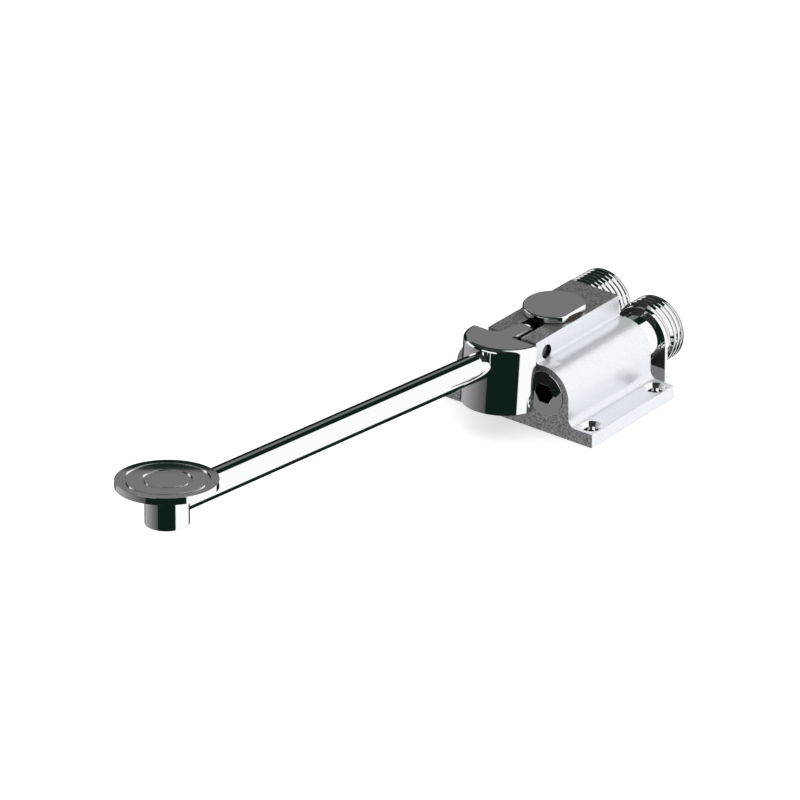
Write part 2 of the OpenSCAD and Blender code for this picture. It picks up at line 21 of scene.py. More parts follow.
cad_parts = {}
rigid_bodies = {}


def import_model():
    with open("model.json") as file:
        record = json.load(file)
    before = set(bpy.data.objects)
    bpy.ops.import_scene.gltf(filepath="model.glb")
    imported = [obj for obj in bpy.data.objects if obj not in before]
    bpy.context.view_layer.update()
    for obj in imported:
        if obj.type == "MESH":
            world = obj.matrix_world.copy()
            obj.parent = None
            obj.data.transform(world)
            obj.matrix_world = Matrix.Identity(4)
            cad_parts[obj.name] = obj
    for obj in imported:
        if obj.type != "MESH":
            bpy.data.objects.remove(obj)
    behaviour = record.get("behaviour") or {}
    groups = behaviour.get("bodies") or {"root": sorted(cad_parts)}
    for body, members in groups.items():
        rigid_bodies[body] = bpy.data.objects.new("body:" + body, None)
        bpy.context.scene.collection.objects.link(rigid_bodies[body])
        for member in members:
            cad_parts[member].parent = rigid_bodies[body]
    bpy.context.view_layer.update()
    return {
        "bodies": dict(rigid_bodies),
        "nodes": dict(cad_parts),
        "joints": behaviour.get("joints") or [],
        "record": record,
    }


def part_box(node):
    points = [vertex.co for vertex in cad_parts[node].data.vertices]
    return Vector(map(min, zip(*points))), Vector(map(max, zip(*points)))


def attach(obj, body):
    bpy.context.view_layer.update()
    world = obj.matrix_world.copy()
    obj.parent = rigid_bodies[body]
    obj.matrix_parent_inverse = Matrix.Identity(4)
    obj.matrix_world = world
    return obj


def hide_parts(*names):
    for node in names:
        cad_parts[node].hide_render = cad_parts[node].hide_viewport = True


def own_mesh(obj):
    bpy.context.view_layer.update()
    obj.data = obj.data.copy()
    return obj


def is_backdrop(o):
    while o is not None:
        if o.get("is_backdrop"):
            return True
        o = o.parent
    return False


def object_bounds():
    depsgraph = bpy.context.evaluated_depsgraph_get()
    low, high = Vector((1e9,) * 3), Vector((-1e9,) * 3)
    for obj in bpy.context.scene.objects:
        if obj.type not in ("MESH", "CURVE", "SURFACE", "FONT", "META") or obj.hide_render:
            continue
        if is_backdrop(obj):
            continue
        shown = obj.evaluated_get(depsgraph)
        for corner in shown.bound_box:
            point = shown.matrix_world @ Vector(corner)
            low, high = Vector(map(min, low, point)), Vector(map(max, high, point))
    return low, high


LOG = logging.getLogger("pedal_tap_valve")
MM = 0.001
DEGREES_PER_RADIAN = 180 / math.pi

Point2 = tuple[float, float]
Point3 = tuple[float, float, float]
Colour = tuple[float, float, float]
Stops = Sequence[tuple[float, Colour]]
Socket = bpy.types.NodeSocket


class Side(Enum):
    """The two water sides of the valve, seen from the pedal, as they end the nodes' names."""

    RIGHT = "right"
    LEFT = "left"


class Body(Enum):
    """The moving bodies that have shown pieces of their own."""

    HOUSING = "housing"
    LEVER = "lever"


class Slot(Enum):
    """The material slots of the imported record."""

    SATIN = "satin_body"
    CHROME = "polished_chrome"
    BRASS = "turned_brass"
    STEEL = "spring_steel"
    RUBBER = "black_rubber"
    FIBRE = "brown_fibre"


# Node trees


class TreePen:
    """Adds and links nodes in a tree with few words."""

    def __init__(self, tree: bpy.types.NodeTree) -> None:
        """Starts with an empty tree.

        Args:
            tree: the tree to fill; its default nodes are removed.
        """
        tree.nodes.clear()
        self.tree = tree

    def node(self, kind: str, feeds: Optional[dict] = None, **settings: object) -> bpy.types.Node:
        """Adds a node.

        Args:
            kind: the node's type name.
            feeds: what goes into its inputs, by their names or numbers.
            settings: properties to set on it before that.

        Returns:
            The new node.
        """
        node = self.tree.nodes.new(kind)
        for key, value in settings.items():
            setattr(node, key, value)
        for key, value in (feeds or {}).items():
            self.feed(node.inputs[key], value)
        return node

    def feed(self, socket: Socket, value: object) -> None:
        """Links a socket to another one, or sets its value.

        Args:
            socket: the input socket.
            value: an output socket, a number or a colour.
        """
        if isinstance(value, bpy.types.NodeSocket):
            self.tree.links.new(value, socket)
        else:
            socket.default_value = value

    def maths(self, operation: str, *values: object, clamp: bool = False) -> Socket:
        """Adds a Math node.

        Args:
            operation: the node's operation.
            values: its inputs, as sockets or numbers.
            clamp: whether the result is held between 0 and 1.

        Returns:
            The result's socket.
        """
        return self.node("ShaderNodeMath", dict(enumerate(values)), operation=operation,
                         use_clamp=clamp).outputs[0]

    def above(self, value: object, limit: float) -> Socket:
        """Adds a test whether a value is greater than a limit."""
        return self.maths("GREATER_THAN", value, limit)

    def below(self, value: object, limit: float) -> Socket:
        """Adds a test whether a value is less than a limit."""
        return self.maths("LESS_THAN", value, limit)

    def both(self, first: object, second: object) -> Socket:
        """Adds a test whether two other tests are met."""
        return self.maths("MULTIPLY", first, second)

    def within(self, spot: tuple[Socket, Socket], centre: Point2, reach: float) -> Socket:
        """Adds a test whether a spot lies near an axis.

        Args:
            spot: its two coordinates across the axis.
            centre: the axis's two coordinates.
            reach: the largest distance that counts as near.

        Returns:
            The socket, 1 near the axis and 0 elsewhere.
        """
        squares = []
        for value, middle in zip(spot, centre):
            away = self.maths("SUBTRACT", value, middle)
            squares.append(self.maths("MULTIPLY", away, away))
        return self.below(self.maths("ADD", *squares), reach * reach)

    def parts(self, vector: Socket) -> tuple[Socket, ...]:
        """Splits a vector into its X, Y and Z."""
        return tuple(self.node("ShaderNodeSeparateXYZ", {"Vector": vector}).outputs)

    def point(self, x: object, y: object, z: object = 0.0) -> Socket:
        """Joins three values to a vector."""
        return self.node("ShaderNodeCombineXYZ", {"X": x, "Y": y, "Z": z}).outputs[0]

    def rays(self) -> tuple[Socket, Socket]:
        """Adds tests whether a ray comes from the eye, and from metal or glass."""
        ray = self.node("ShaderNodeLightPath").outputs
        return ray["Is Camera Ray"], self.maths("MAXIMUM", ray["Is Glossy Ray"],
                                                ray["Is Transmission Ray"])

    def blend(self, factor: object, low: object, high: object) -> Socket:
        """Adds a colour Mix node.

        Args:
            factor: how much of the second colour shows.
            low: the first colour, as a socket or (r, g, b, 1).
            high: the second colour.

        Returns:
            The mixed colour's socket.
        """
        # The node's colours are its inputs 6 and 7 and its output 2
        return self.node("ShaderNodeMix", {"Factor": factor, 6: low, 7: high},
                         data_type="RGBA").outputs[2]

    def mixed(self, factor: object, first: Socket, second: Socket) -> Socket:
        """Adds a Mix Shader node.

        Args:
            factor: how much of the second shader shows.
            first: the first shader.
            second: the second shader.

        Returns:
            The mixed shader's socket.
        """
        return self.node("ShaderNodeMixShader",
                         {"Fac": factor, 1: first, 2: second}).outputs["Shader"]

    def ramp(self, factor: object, stops: Stops) -> Socket:
        """Adds a Color Ramp node.

        Args:
            factor: the place on the ramp.
            stops: the ramp's places and colours.

        Returns:
            The colour's socket.
        """
        node = self.node("ShaderNodeValToRGB", {"Fac": factor})
        node.color_ramp.interpolation = "LINEAR"
        elements = node.color_ramp.elements
        while len(elements) < len(stops):
            elements.new(0.5)
        for element, (position, colour) in zip(elements, stops):
            element.position = position
            element.color = (*colour, 1.0)
        return node.outputs["Color"]


# Finishes

GRAIN_DETAIL = 3.0
# Noise values at which the grain is at its darkest and at its full colour
GRAIN_DARK = 0.35
GRAIN_FULL = 0.62


@dataclass(frozen=True, kw_only=True)
class Finish:
    """A surface finish with a fine grain.

    Attributes:
        name: the material's name.
        colour: the base colour.
        metallic: 1 for bare metal, 0 for rubber and fibre.
        roughness: the mean roughness.
        grain_size: size of the grain in metres.
        grain_depth: depth of the grain's bump in metres.
        grain_shade: how much darker the colour is in the grain's low spots.
        roughness_spread: how far the roughness wanders with the grain.
    """

    name: str
    colour: Colour
    metallic: float = 1.0
    roughness: float
    grain_size: float = 0.4 * MM
    grain_depth: float = 0.0
    grain_shade: float = 0.0
    roughness_spread: float = 0.0

    def plain(self, pen: TreePen) -> Socket:
        """Adds the finish's Principled BSDF, with its grain as noise on Object coordinates.

        Args:
            pen: the material's tree.

        Returns:
            The shader's socket.
        """
        shader = pen.node("ShaderNodeBsdfPrincipled", {
            "Base Color": (*self.colour, 1.0), "Metallic": self.metallic,
            "Roughness": self.roughness,
        })
        if self.grain_depth or self.grain_shade or self.roughness_spread:
            grain = pen.node("ShaderNodeTexNoise", {
                "Vector": pen.node("ShaderNodeTexCoord").outputs["Object"],
                "Scale": 1.0 / self.grain_size, "Detail": GRAIN_DETAIL,
            }).outputs["Fac"]
            if self.grain_shade:
                dark = tuple(channel * (1.0 - self.grain_shade) for channel in self.colour)
                pen.feed(shader.inputs["Base Color"],
                         pen.ramp(grain, [(GRAIN_DARK, dark), (GRAIN_FULL, self.colour)]))
            if self.roughness_spread:
                pen.feed(shader.inputs["Roughness"],
                         pen.maths("MULTIPLY_ADD", grain, 2.0 * self.roughness_spread,
                                   self.roughness - self.roughness_spread))
            if self.grain_depth:
                bump = pen.node("ShaderNodeBump", {
                    "Distance": self.grain_depth, "Strength": 1.0, "Height": grain,
                })
                pen.feed(shader.inputs["Normal"], bump.outputs["Normal"])
        return shader.outputs["BSDF"]

    def surface(self, pen: TreePen) -> Socket:
        """Adds the whole surface; finishes of more than one kind override it."""
        return self.plain(pen)

    def material(self) -> bpy.types.Material:
        """Makes the material, or finds it if it is made already.

        Returns:
            The material.
        """
        found = bpy.data.materials.get(self.name)
        if found:
            return found
        material = bpy.data.materials.new(self.name)
        material.use_nodes = True
        pen = TreePen(material.node_tree)
        pen.node("ShaderNodeOutputMaterial", {"Surface": self.surface(pen)})
        return material


@dataclass(frozen=True, kw_only=True)
class BodyFinish(Finish):
    """The extruded body's satin skin, with darker cut faces at its ends and on the tower, painted
    shade on the rear end's cut face and painted shade inside the tower.

    Attributes:
        cut: the finish of the cut faces.
        rear: the cut face at the rear end, darkened with painted shade.
        turned: the finish inside the countersinks.
        bored: painted shade for the slot, the bores and the cross hole.
        facing: least share of the normal along an axis that counts as facing it.
        tower_top: height above which upward faces are cut.
        hole_x: distance of the screw holes from the middle, across the body.
        hole_y: distance of the screw holes from the middle, along the body.
        sink_r: radius of the countersinks.
        inner_x: half the width of what lies inside the tower.
        inner_y: half the length of what lies inside the tower.
    """

    cut: Finish
    rear: Finish
    turned: Finish
    bored: Finish
    facing: float = 0.93
    tower_top: float = 28.5 * MM
    hole_x: float = 26.4 * MM
    hole_y: float = 16.15 * MM
    sink_r: float = 3.46 * MM
    inner_x: float = 8.95 * MM
    inner_y: float = 20.6 * MM

    def surface(self, pen: TreePen) -> Socket:
        """Mixes the five finishes by place and direction.

        Args:
            pen: the material's tree.

        Returns:
            The mixed shader's socket.
        """
        place = pen.node("ShaderNodeTexCoord").outputs
        _, facing_y, facing_z = pen.parts(place["Normal"])
        x, y, z = pen.parts(place["Object"])
        across, along = pen.maths("ABSOLUTE", x), pen.maths("ABSOLUTE", y)
        is_end = pen.above(pen.maths("ABSOLUTE", facing_y), self.facing)
        is_top = pen.both(pen.above(z, self.tower_top), pen.above(facing_z, self.facing))
        # Painted shade on the cut face at the rear end, which faces the rear plate
        shades_rear = pen.above(facing_y, self.facing)
        is_sink = pen.within((across, along), (self.hole_x, self.hole_y), self.sink_r)
        # Painted shade inside the tower: the slot, the bores and the cross hole
        shades_inside = pen.both(
            pen.both(pen.below(across, self.inner_x), pen.below(along, self.inner_y)),
            pen.below(z, self.tower_top))
        result = self.plain(pen)
        for factor, finish in ((pen.maths("MAXIMUM", is_end, is_top), self.cut),
                               (shades_rear, self.rear), (is_sink, self.turned),
                               (shades_inside, self.bored)):
            result = pen.mixed(factor, result, finish.plain(pen))
        return result


@dataclass(frozen=True, kw_only=True)
class HeadFinish(Finish):
    """The lever head's chrome, with painted shade on its back and on the low part of the arm.

    Attributes:
        inner: painted shade for the arm's low part.
        back: painted shade for the head's back.
        facing: least share of the normal along +Y that counts as the back.
        back_y: place along Y behind which the arm lies.
        low_z: height below which the arm gets painted shade.
    """

    inner: Finish
    back: Finish
    facing: float = 0.5
    back_y: float = -20.5 * MM
    low_z: float = 27.2 * MM

    def surface(self, pen: TreePen) -> Socket:
        """Mixes the three finishes by place and direction.

        Args:
            pen: the material's tree.

        Returns:
            The mixed shader's socket.
        """
        place = pen.node("ShaderNodeTexCoord").outputs
        _, y, z = pen.parts(place["Object"])
        _, facing_y, _ = pen.parts(place["Normal"])
        # Painted shade on the arm's low part and on the head's back
        inside = pen.both(pen.above(y, self.back_y), pen.below(z, self.low_z))
        behind = pen.both(pen.below(y, self.back_y), pen.above(facing_y, self.facing))
        result = pen.mixed(inside, self.plain(pen), self.inner.plain(pen))
        return pen.mixed(behind, result, self.back.plain(pen))


@dataclass(frozen=True, kw_only=True)
class SocketFinish(Finish):
    """Polished metal with painted shade on the wall inside a socket along Y.

    Attributes:
        inner: the finish inside the socket.
        axis_x: distance of the socket's axis from the middle.
        axis_z: height of the socket's axis.
        mouth_y: depth along Y from which on the inner finish shows.
        reach: radius within which the inner finish shows.
    """

    inner: Finish
    axis_x: float = 12 * MM
    axis_z: float = 12.8 * MM
    mouth_y: float = -20.6 * MM
    reach: float = 3.6 * MM

    def surface(self, pen: TreePen) -> Socket:
        """Mixes the two finishes by distance from the socket's axis.

        Args:
            pen: the material's tree.

        Returns:
            The mixed shader's socket.
        """
        x, y, z = pen.parts(pen.node("ShaderNodeTexCoord").outputs["Object"])
        near = pen.within((pen.maths("ABSOLUTE", x), z), (self.axis_x, self.axis_z), self.reach)
        deep = pen.above(y, self.mouth_y)
        # Painted shade on the wall inside the socket
        return pen.mixed(pen.both(near, deep), self.plain(pen), self.inner.plain(pen))


CHROME_COLOUR: Colour = (0.96, 0.965, 0.97)
CUT_FACE = Finish(
    name="cut_face", colour=(0.78, 0.78, 0.785), metallic=0.9, roughness=0.4,
    grain_size=0.5 * MM, grain_depth=0.08 * MM, grain_shade=0.6)
# Painted shade: the rear end's cut face, dark and even, for the shade between the body and the
# rear plate
SHADED_REAR_FACE = Finish(
    name="painted_shade_rear_face", colour=(0.14, 0.14, 0.145), metallic=0.9, roughness=0.5,
    grain_size=0.5 * MM, grain_depth=0.03 * MM, grain_shade=0.2)
TURNED_SINK = Finish(
    name="turned_sink", colour=(0.95, 0.955, 0.96), roughness=0.06)
# Painted shade: near black walls for the plugs' hex sockets and the lever head's back
SHADED_SOCKET_WALL = Finish(
    name="painted_shade_socket_wall", colour=(0.07, 0.08, 0.08), roughness=0.25)
# Painted shade: dark walls inside the tower, also on the lever arm's low part there
SHADED_BORE_WALL = Finish(
    name="painted_shade_bore_wall", colour=(0.2, 0.21, 0.21), roughness=0.35,
    grain_size=0.5 * MM, grain_depth=0.02 * MM, grain_shade=0.4)
SATIN_BODY = BodyFinish(
    name="satin_plated_body", colour=(0.92, 0.945, 0.985), metallic=0.5, roughness=0.24,
    grain_size=0.4 * MM, grain_depth=0.07 * MM, grain_shade=0.1, cut=CUT_FACE,
    rear=SHADED_REAR_FACE, turned=TURNED_SINK, bored=SHADED_BORE_WALL)
CHROME = Finish(
    name="bright_chrome", colour=CHROME_COLOUR, roughness=0.012,
    grain_size=6 * MM, roughness_spread=0.005)
# The front plugs' chrome, with painted shade in their hex sockets
SOCKET_CHROME = SocketFinish(
    name="socket_chrome", colour=CHROME_COLOUR, roughness=0.03,
    inner=SHADED_SOCKET_WALL)
# Chrome with painted shade on the head's back and on the arm's low part
HEAD_CHROME = HeadFinish(
    name="head_chrome", colour=CHROME_COLOUR, roughness=0.012,
    grain_size=6 * MM, roughness_spread=0.005, inner=SHADED_BORE_WALL, back=SHADED_SOCKET_WALL)
BRASS = Finish(
    name="machined_brass", colour=(0.78, 0.6, 0.3), roughness=0.28,
    grain_size=0.5 * MM, grain_depth=0.01 * MM)
STEEL = Finish(
    name="plain_steel", colour=(0.22, 0.22, 0.225), roughness=0.3,
    grain_size=0.5 * MM, grain_depth=0.01 * MM, grain_shade=0.15)
RUBBER = Finish(
    name="dull_rubber", colour=(0.035, 0.035, 0.04), metallic=0.0, roughness=0.6,
    grain_size=0.3 * MM, grain_depth=0.02 * MM)
FIBRE = Finish(
    name="pressed_fibre", colour=(0.05, 0.037, 0.03), metallic=0.0, roughness=0.75,
    grain_size=0.2 * MM, grain_depth=0.03 * MM, grain_shade=0.4)

FINISH_OF = {
    Slot.SATIN: SATIN_BODY, Slot.CHROME: CHROME, Slot.BRASS: BRASS,
    Slot.STEEL: STEEL, Slot.RUBBER: RUBBER, Slot.FIBRE: FIBRE,
}


# Meshes

# Largest share of an edge that one rounded corner takes
CORNER_SHARE = 0.48
# Half angle of a corner above which it counts as straight
STRAIGHT = math.radians(88)
# Distance within which points of a turned or swept mesh become one
MERGE = 1e-7
# Angles above which an edge stays sharp
SHARP_TURNED = math.radians(32)
SHARP_COPIED = math.radians(36)
SHARP_SWEPT = math.radians(25)
# Copies of CAD nodes: distances within which points become one and slivers vanish, angle below
# which faces are one flat, and angle above which an edge gets a bevel
COPY_MERGE = 0.002 * MM
COPY_SLIVER = 0.004 * MM
COPY_FLAT = math.radians(0.6)
COPY_BEVEL = math.radians(33)


def rounded(points: Sequence[Point2], radius: float, steps: int = 4,
            keep: Iterable[int] = (), margin: float = 0.03 * MM) -> list[Point2]:
    """Rounds the corners of an open outline.

    Args:
        points: the outline; its two ends are kept.
        radius: the corners' radius, less where an edge is too short for it.
        steps: number of segments in a corner.
        keep: indices of corners that stay sharp.
        margin: distance of an extra point beside each corner, which keeps flats flat.

    Returns:
        The rounded outline.
    """
    kept = set(keep)
    result = [points[0]]
    for index in range(1, len(points) - 1):
        corner = Vector(points[index])
        before = Vector(points[index - 1]) - corner
        after = Vector(points[index + 1]) - corner
        half = before.angle(after) / 2
        if index in kept or half > STRAIGHT:
            result.append(points[index])
            continue
        room_before, room_after = CORNER_SHARE * before.length, CORNER_SHARE * after.length
        reach = min(radius / math.tan(half), room_before, room_after)
        start = corner + before.normalized() * reach
        end = corner + after.normalized() * reach
        if reach + margin < room_before:
            result.append(tuple(start + before.normalized() * margin))
        for step in range(steps + 1):
            t = step / steps
            spot = start * (1 - t) ** 2 + corner * 2 * t * (1 - t) + end * t ** 2
            result.append((spot.x, spot.y))
        if reach + margin < room_after:
            result.append(tuple(end + after.normalized() * margin))
    result.append(points[-1])
    return result


def rounded_loop(points: Sequence[Point2], radius: float) -> list[Point2]:
    """Rounds the corners of a closed outline, apart from its first one."""
    return rounded([*points, points[0]], radius, steps=3)[:-1]


@contextmanager
def edited(mesh: bpy.types.Mesh) -> Iterator[bmesh.types.BMesh]:
    """Opens a mesh for changes and writes them back.

    Args:
        mesh: the mesh to change.

    Yields:
        The mesh in the form that bmesh works on.
    """
    work = bmesh.new()
    work.from_mesh(mesh)
    yield work
    work.to_mesh(mesh)
    work.free()


def face_outwards(mesh: bpy.types.Mesh) -> None:
    """Merges doubles and turns the faces outwards.

    Args:
        mesh: the mesh to change.
    """
    with edited(mesh) as work:
        bmesh.ops.remove_doubles(work, verts=work.verts, dist=MERGE)
        bmesh.ops.recalc_face_normals(work, faces=work.faces)


def shade(mesh: bpy.types.Mesh, sharp_angle: float) -> None:
    """Shades a mesh smoothly, with sharp edges where faces meet steeply.

    Args:
        mesh: the mesh to change.
        sharp_angle: angle above which an edge stays sharp.
    """
    with edited(mesh) as work:
        for face in work.faces:
            face.smooth = True
        for edge in work.edges:
            if len(edge.link_faces) == 2:
                edge.smooth = edge.calc_face_angle(0.0) < sharp_angle


def new_object(name: str, data: bpy.types.ID) -> bpy.types.Object:
    """Links a mesh, lamp or camera into the scene as an object at the origin.

    Args:
        name: the object's name.
        data: its mesh, lamp or camera.

    Returns:
        The object.
    """
    obj = bpy.data.objects.new(name, data)
    bpy.context.scene.collection.objects.link(obj)
    return obj


def applied(obj: bpy.types.Object) -> bpy.types.Mesh:
    """Turns an object's modifiers into a plain mesh.

    Args:
        obj: the object, whose modifiers are removed.

    Returns:
        The new mesh.
    """
    bpy.context.view_layer.update()
    graph = bpy.context.evaluated_depsgraph_get()
    mesh = bpy.data.meshes.new_from_object(obj.evaluated_get(graph), depsgraph=graph)
    mesh.name = obj.name
    obj.modifiers.clear()
    return mesh


def lathe(name: str, outline: Sequence[Point2], place: Matrix, segments: int = 160,
          closed: bool = False) -> bpy.types.Object:
    """Turns an outline of (radius, height) about Z into a solid.

    Args:
        name: the object's name.
        outline: the outline, from one end to the other.
        place: where the solid's own frame lies.
        segments: number of steps round the axis.
        closed: whether the outline's last point joins its first.

    Returns:
        The object, with its place in its mesh.
    """
    vertices: list[Point3] = []
    rows: list[list[int]] = []
    for radius, height in outline:
        if radius < MERGE:
            rows.append([len(vertices)] * segments)
            vertices.append((0.0, 0.0, height))
            continue
        rows.append(list(range(len(vertices), len(vertices) + segments)))
        for step in range(segments):
            angle = 2 * math.pi * step / segments
            vertices.append((radius * math.cos(angle), radius * math.sin(angle), height))
    faces: list[list[int]] = []
    pairs = list(zip(rows, rows[1:]))
    if closed:
        pairs.append((rows[-1], rows[0]))
    for low, high in pairs:
        for step in range(segments):
            follow = (step + 1) % segments
            ring = dict.fromkeys((low[step], low[follow], high[follow], high[step]))
            if len(ring) > 2:
                faces.append(list(ring))
    mesh = bpy.data.meshes.new(name)
    mesh.from_pydata(vertices, [], faces)
    mesh.transform(place)
    face_outwards(mesh)
    shade(mesh, SHARP_TURNED)
    return new_object(name, mesh)


def dress(obj: bpy.types.Object, slot: Slot, body: Body, *nodes: str,
          finish: Optional[Finish] = None) -> bpy.types.Object:
    """Gives a piece its finish and its body, and lets it stand for CAD nodes.

    Args:
        obj: the piece.
        slot: the record's material slot.
        body: the body that it rides on.
        nodes: the CAD nodes that it replaces.
        finish: a finish other than the slot's usual one.

    Returns:
        The same piece.
    """
    # Large faces rule the shading at their edges, so that flats stay flat
    flats = obj.modifiers.new("flats", "WEIGHTED_NORMAL")
    flats.mode = "FACE_AREA"
    flats.keep_sharp = True
    obj.data = applied(obj)
    obj.data.materials.clear()
    obj.data.materials.append((finish or FINISH_OF[slot]).material())
    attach(obj, body.value)
    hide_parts(*nodes)
    LOG.info("%s: %d faces on %s, stands for %s", obj.name, len(obj.data.polygons), body.value,
             ", ".join(nodes))
    return obj


def dressed_copy(frame: dict, node: str, slot: Slot, body: Body, edge: float = 0.0,
                 segments: int = 2, finish: Optional[Finish] = None) -> bpy.types.Object:
    """Copies a CAD node, with smooth shading and narrow bevels, and dresses the copy.

    Args:
        node: the node, which the copy replaces.
        slot: the record's material slot.
        body: the body that it rides on.
        edge: width of the bevels; 0 keeps the edges sharp.
        segments: number of faces across a bevel.
        finish: a finish other than the slot's usual one.

    Returns:
        The copy, named NODE_shown.
    """
    mesh = frame["nodes"][node].data.copy()
    mesh.materials.clear()
    with edited(mesh) as work:
        bmesh.ops.remove_doubles(work, verts=work.verts, dist=COPY_MERGE)
        bmesh.ops.dissolve_degenerate(work, edges=work.edges, dist=COPY_SLIVER)
        bmesh.ops.dissolve_limit(work, angle_limit=COPY_FLAT, verts=work.verts, edges=work.edges)
    obj = new_object(f"{node}_shown", mesh)
    if edge:
        bevel = obj.modifiers.new("edge", "BEVEL")
        bevel.width = edge
        bevel.segments = segments
        bevel.limit_method = "ANGLE"
        bevel.angle_limit = COPY_BEVEL
        obj.data = applied(obj)
    shade(obj.data, SHARP_COPIED)
    return dress(obj, slot, body, node, finish=finish)


# Helical ridges


class RidgeTree:
    """A Geometry Nodes tree that sweeps a thread's ridge along a helix about Z."""

    INPUTS = ("Helix Radius", "Pitch", "Turns", "Base Width", "Crest Width", "Depth",
              "Start Height", "Edge Radius")
    STEPS_PER_TURN = 96
    # Share of its full size that the ridge has at its very end, and how much it gains per turn
    SWELL_START = 0.05
    SWELL_RATE = 4.0
    # Share of the depth by which the ridge's foot reaches into the core
    FOOT_SHARE = 0.15

    def __init__(self) -> None:
        """Builds the tree with its named inputs."""
        self.tree = bpy.data.node_groups.new("thread_ridge", "GeometryNodeTree")
        face = self.tree.interface
        self.sockets = {
            name: face.new_socket(name, in_out="INPUT", socket_type="NodeSocketFloat")
            for name in self.INPUTS
        }
        self.sockets["Finish"] = face.new_socket(
            "Finish", in_out="INPUT", socket_type="NodeSocketMaterial")
        face.new_socket("Geometry", in_out="OUTPUT", socket_type="NodeSocketGeometry")
        self._build(TreePen(self.tree))

    def _build(self, pen: TreePen) -> None:
        """Adds the nodes, from the helix and the ridge's section to the dressed mesh.

        Args:
            pen: the tree.
        """
        given = pen.node("NodeGroupInput").outputs
        spiral = pen.node("GeometryNodeCurveSpiral", {
            "Resolution": self.STEPS_PER_TURN, "Rotations": given["Turns"],
            "Start Radius": given["Helix Radius"], "End Radius": given["Helix Radius"],
            "Height": pen.maths("MULTIPLY", given["Turns"], given["Pitch"]),
        })
        upright = pen.node("GeometryNodeSetCurveNormal", {"Curve": spiral.outputs["Curve"]},
                           mode="Z_UP")
        # The ridge thins out over a quarter turn at each end
        along = pen.node("GeometryNodeSplineParameter").outputs["Factor"]
        turn = pen.maths("MULTIPLY", along, given["Turns"])
        nearest = pen.maths("MINIMUM", turn, pen.maths("SUBTRACT", given["Turns"], turn))
        swell = pen.maths(
            "MINIMUM",
            pen.maths("MULTIPLY_ADD", nearest, self.SWELL_RATE, self.SWELL_START), 1.0)
        # The helix's normal points inwards, so the crest lies at minus the depth
        foot = pen.maths("MULTIPLY", given["Depth"], self.FOOT_SHARE)
        crest = pen.maths("MULTIPLY", given["Depth"], -1.0)
        half_base = pen.maths("MULTIPLY", given["Base Width"], 0.5)
        half_crest = pen.maths("MULTIPLY", given["Crest Width"], 0.5)
        section = pen.node("GeometryNodeCurvePrimitiveQuadrilateral", {
            "Point 1": pen.point(foot, half_base), "Point 2": pen.point(crest, half_crest),
            "Point 3": pen.point(crest, pen.maths("MULTIPLY", half_crest, -1.0)),
            "Point 4": pen.point(foot, pen.maths("MULTIPLY", half_base, -1.0)),
        }, mode="POINTS")
        eased = pen.node("GeometryNodeFilletCurve", {
            "Curve": section.outputs["Curve"], "Radius": given["Edge Radius"], "Count": 1,
        }, mode="POLY")
        sweep = pen.node("GeometryNodeCurveToMesh", {
            "Curve": upright.outputs["Curve"], "Profile Curve": eased.outputs["Curve"],
            "Scale": swell, "Fill Caps": True,
        })
        lift = pen.node("GeometryNodeTransform", {
            "Geometry": sweep.outputs["Mesh"],
            "Translation": pen.point(0.0, 0.0, given["Start Height"]),
        })
        real = pen.node("GeometryNodeRealizeInstances", {"Geometry": lift.outputs["Geometry"]})
        finish = pen.node("GeometryNodeSetMaterial", {
            "Geometry": real.outputs["Geometry"], "Material": given["Finish"],
        })
        pen.node("NodeGroupOutput", {"Geometry": finish.outputs["Geometry"]})

    def ridge(self, name: str, values: dict[str, float], finish: Finish) -> bpy.types.Mesh:
        """Makes one ridge.

        Args:
            name: the mesh's name.
            values: the tree's inputs by name.
            finish: the ridge's finish.

        Returns:
            The ridge as a plain mesh about Z.
        """
        carrier = new_object(name, bpy.data.meshes.new(name))
        modifier = carrier.modifiers.new("ridge", "NODES")
        modifier.node_group = self.tree
        for key, value in values.items():
            modifier[self.sockets[key].identifier] = value
        modifier[self.sockets["Finish"].identifier] = finish.material()
        mesh = applied(carrier)
        bpy.data.objects.remove(carrier)
        return mesh


# The valve


def passage_frame(node: str) -> Matrix:
    """Finds the frame of a round node on a water passage.

    Args:
        node: the node's name.

    Returns:
        The frame as a matrix, with Z along +Y and its origin at the node's front.
    """
    low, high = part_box(node)
    centre = (low + high) / 2
    return (Matrix.Translation((centre.x, low.y, centre.z))
            @ Matrix.Rotation(math.radians(-90), 4, "X"))


